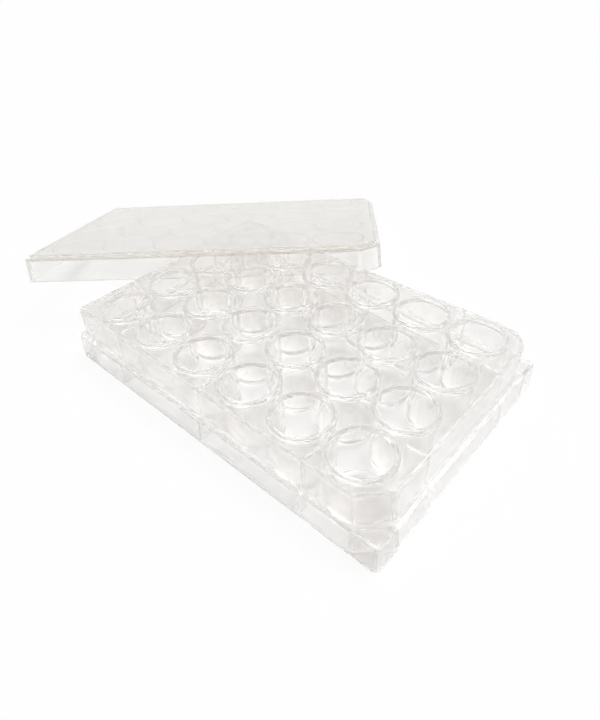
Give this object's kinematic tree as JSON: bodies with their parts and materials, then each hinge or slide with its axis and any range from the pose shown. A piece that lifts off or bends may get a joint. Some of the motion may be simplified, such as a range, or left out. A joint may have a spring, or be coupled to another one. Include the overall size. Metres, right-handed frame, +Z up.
{
  "type": "well plate",
  "caption": "Clear flat lab plate with rows of round open wells, a stepped skirt and keyed corners, and its loose clear lid leaning on one end.",
  "frame": {"origin": "middle of the plate's foot, on the surface it stands on", "axes": "+X along the plate's long side towards its keyed corners, +Y along its short side, +Z up out of the wells"},
  "size_m": [0.2049, 0.1405, 0.0323],
  "materials": {
    "clear_plate": "clear polished polystyrene",
    "clear_lid": "clear polished polystyrene"
  },
  "bodies": {
    "root": {"plate": "clear_plate", "lid": "clear_lid"}
  },
  "joints": []
}
